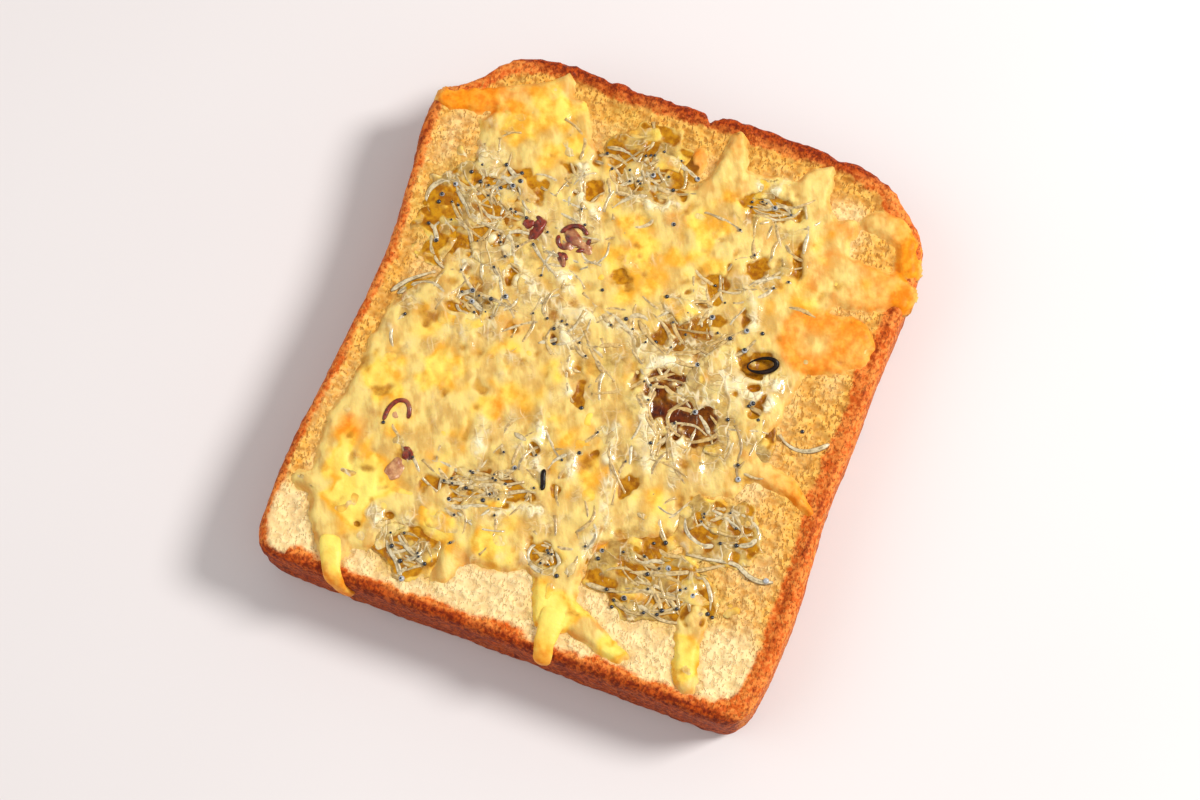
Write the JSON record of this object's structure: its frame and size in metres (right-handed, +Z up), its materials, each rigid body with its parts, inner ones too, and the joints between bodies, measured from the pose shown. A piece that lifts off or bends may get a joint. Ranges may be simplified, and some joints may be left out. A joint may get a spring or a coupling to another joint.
{
  "type": "cheese toast with whitebait",
  "caption": "Thick slice of white toast topped with melted cheese, small whitebait, red-brown bits and a dark ring; prepared food to set on a plate.",
  "frame": {"origin": "under the middle of the whole, on the surface that the slice lies on", "axes": "+X along the foot of the slice, +Y towards its crown, +Z up out of the topping"},
  "size_m": [0.1208, 0.135, 0.0221],
  "materials": {
    "bread": "dry toasted crumb, pale cream to golden, with a rough orange to dark brown crust",
    "cheese": "oily melted cheese, milky white to yellow, orange where browned",
    "whitebait": "moist translucent grey-white fish with black eyes",
    "red_piece": "moist dark red-brown flesh",
    "dark_piece": "moist black rind"
  },
  "bodies": {
    "root": {"bread": "bread", "cheese": "cheese", "whitebait_upper_left": "whitebait", "whitebait_top": "whitebait", "whitebait_top_right": "whitebait", "whitebait_centre": "whitebait", "whitebait_dark_hollow": "whitebait", "whitebait_right": "whitebait", "whitebait_lower_right": "whitebait", "whitebait_lower_middle": "whitebait", "whitebait_lower_left": "whitebait", "whitebait_small_low": "whitebait", "whitebait_small_left": "whitebait", "whitebait_long": "whitebait", "whitebait_right_arc": "whitebait", "whitebait_left_arch": "whitebait", "red_piece_1": "red_piece", "red_piece_2": "red_piece", "red_piece_3": "red_piece", "red_piece_4": "red_piece", "red_piece_5": "red_piece", "dark_sliver": "dark_piece", "dark_ring": "dark_piece"}
  },
  "joints": []
}
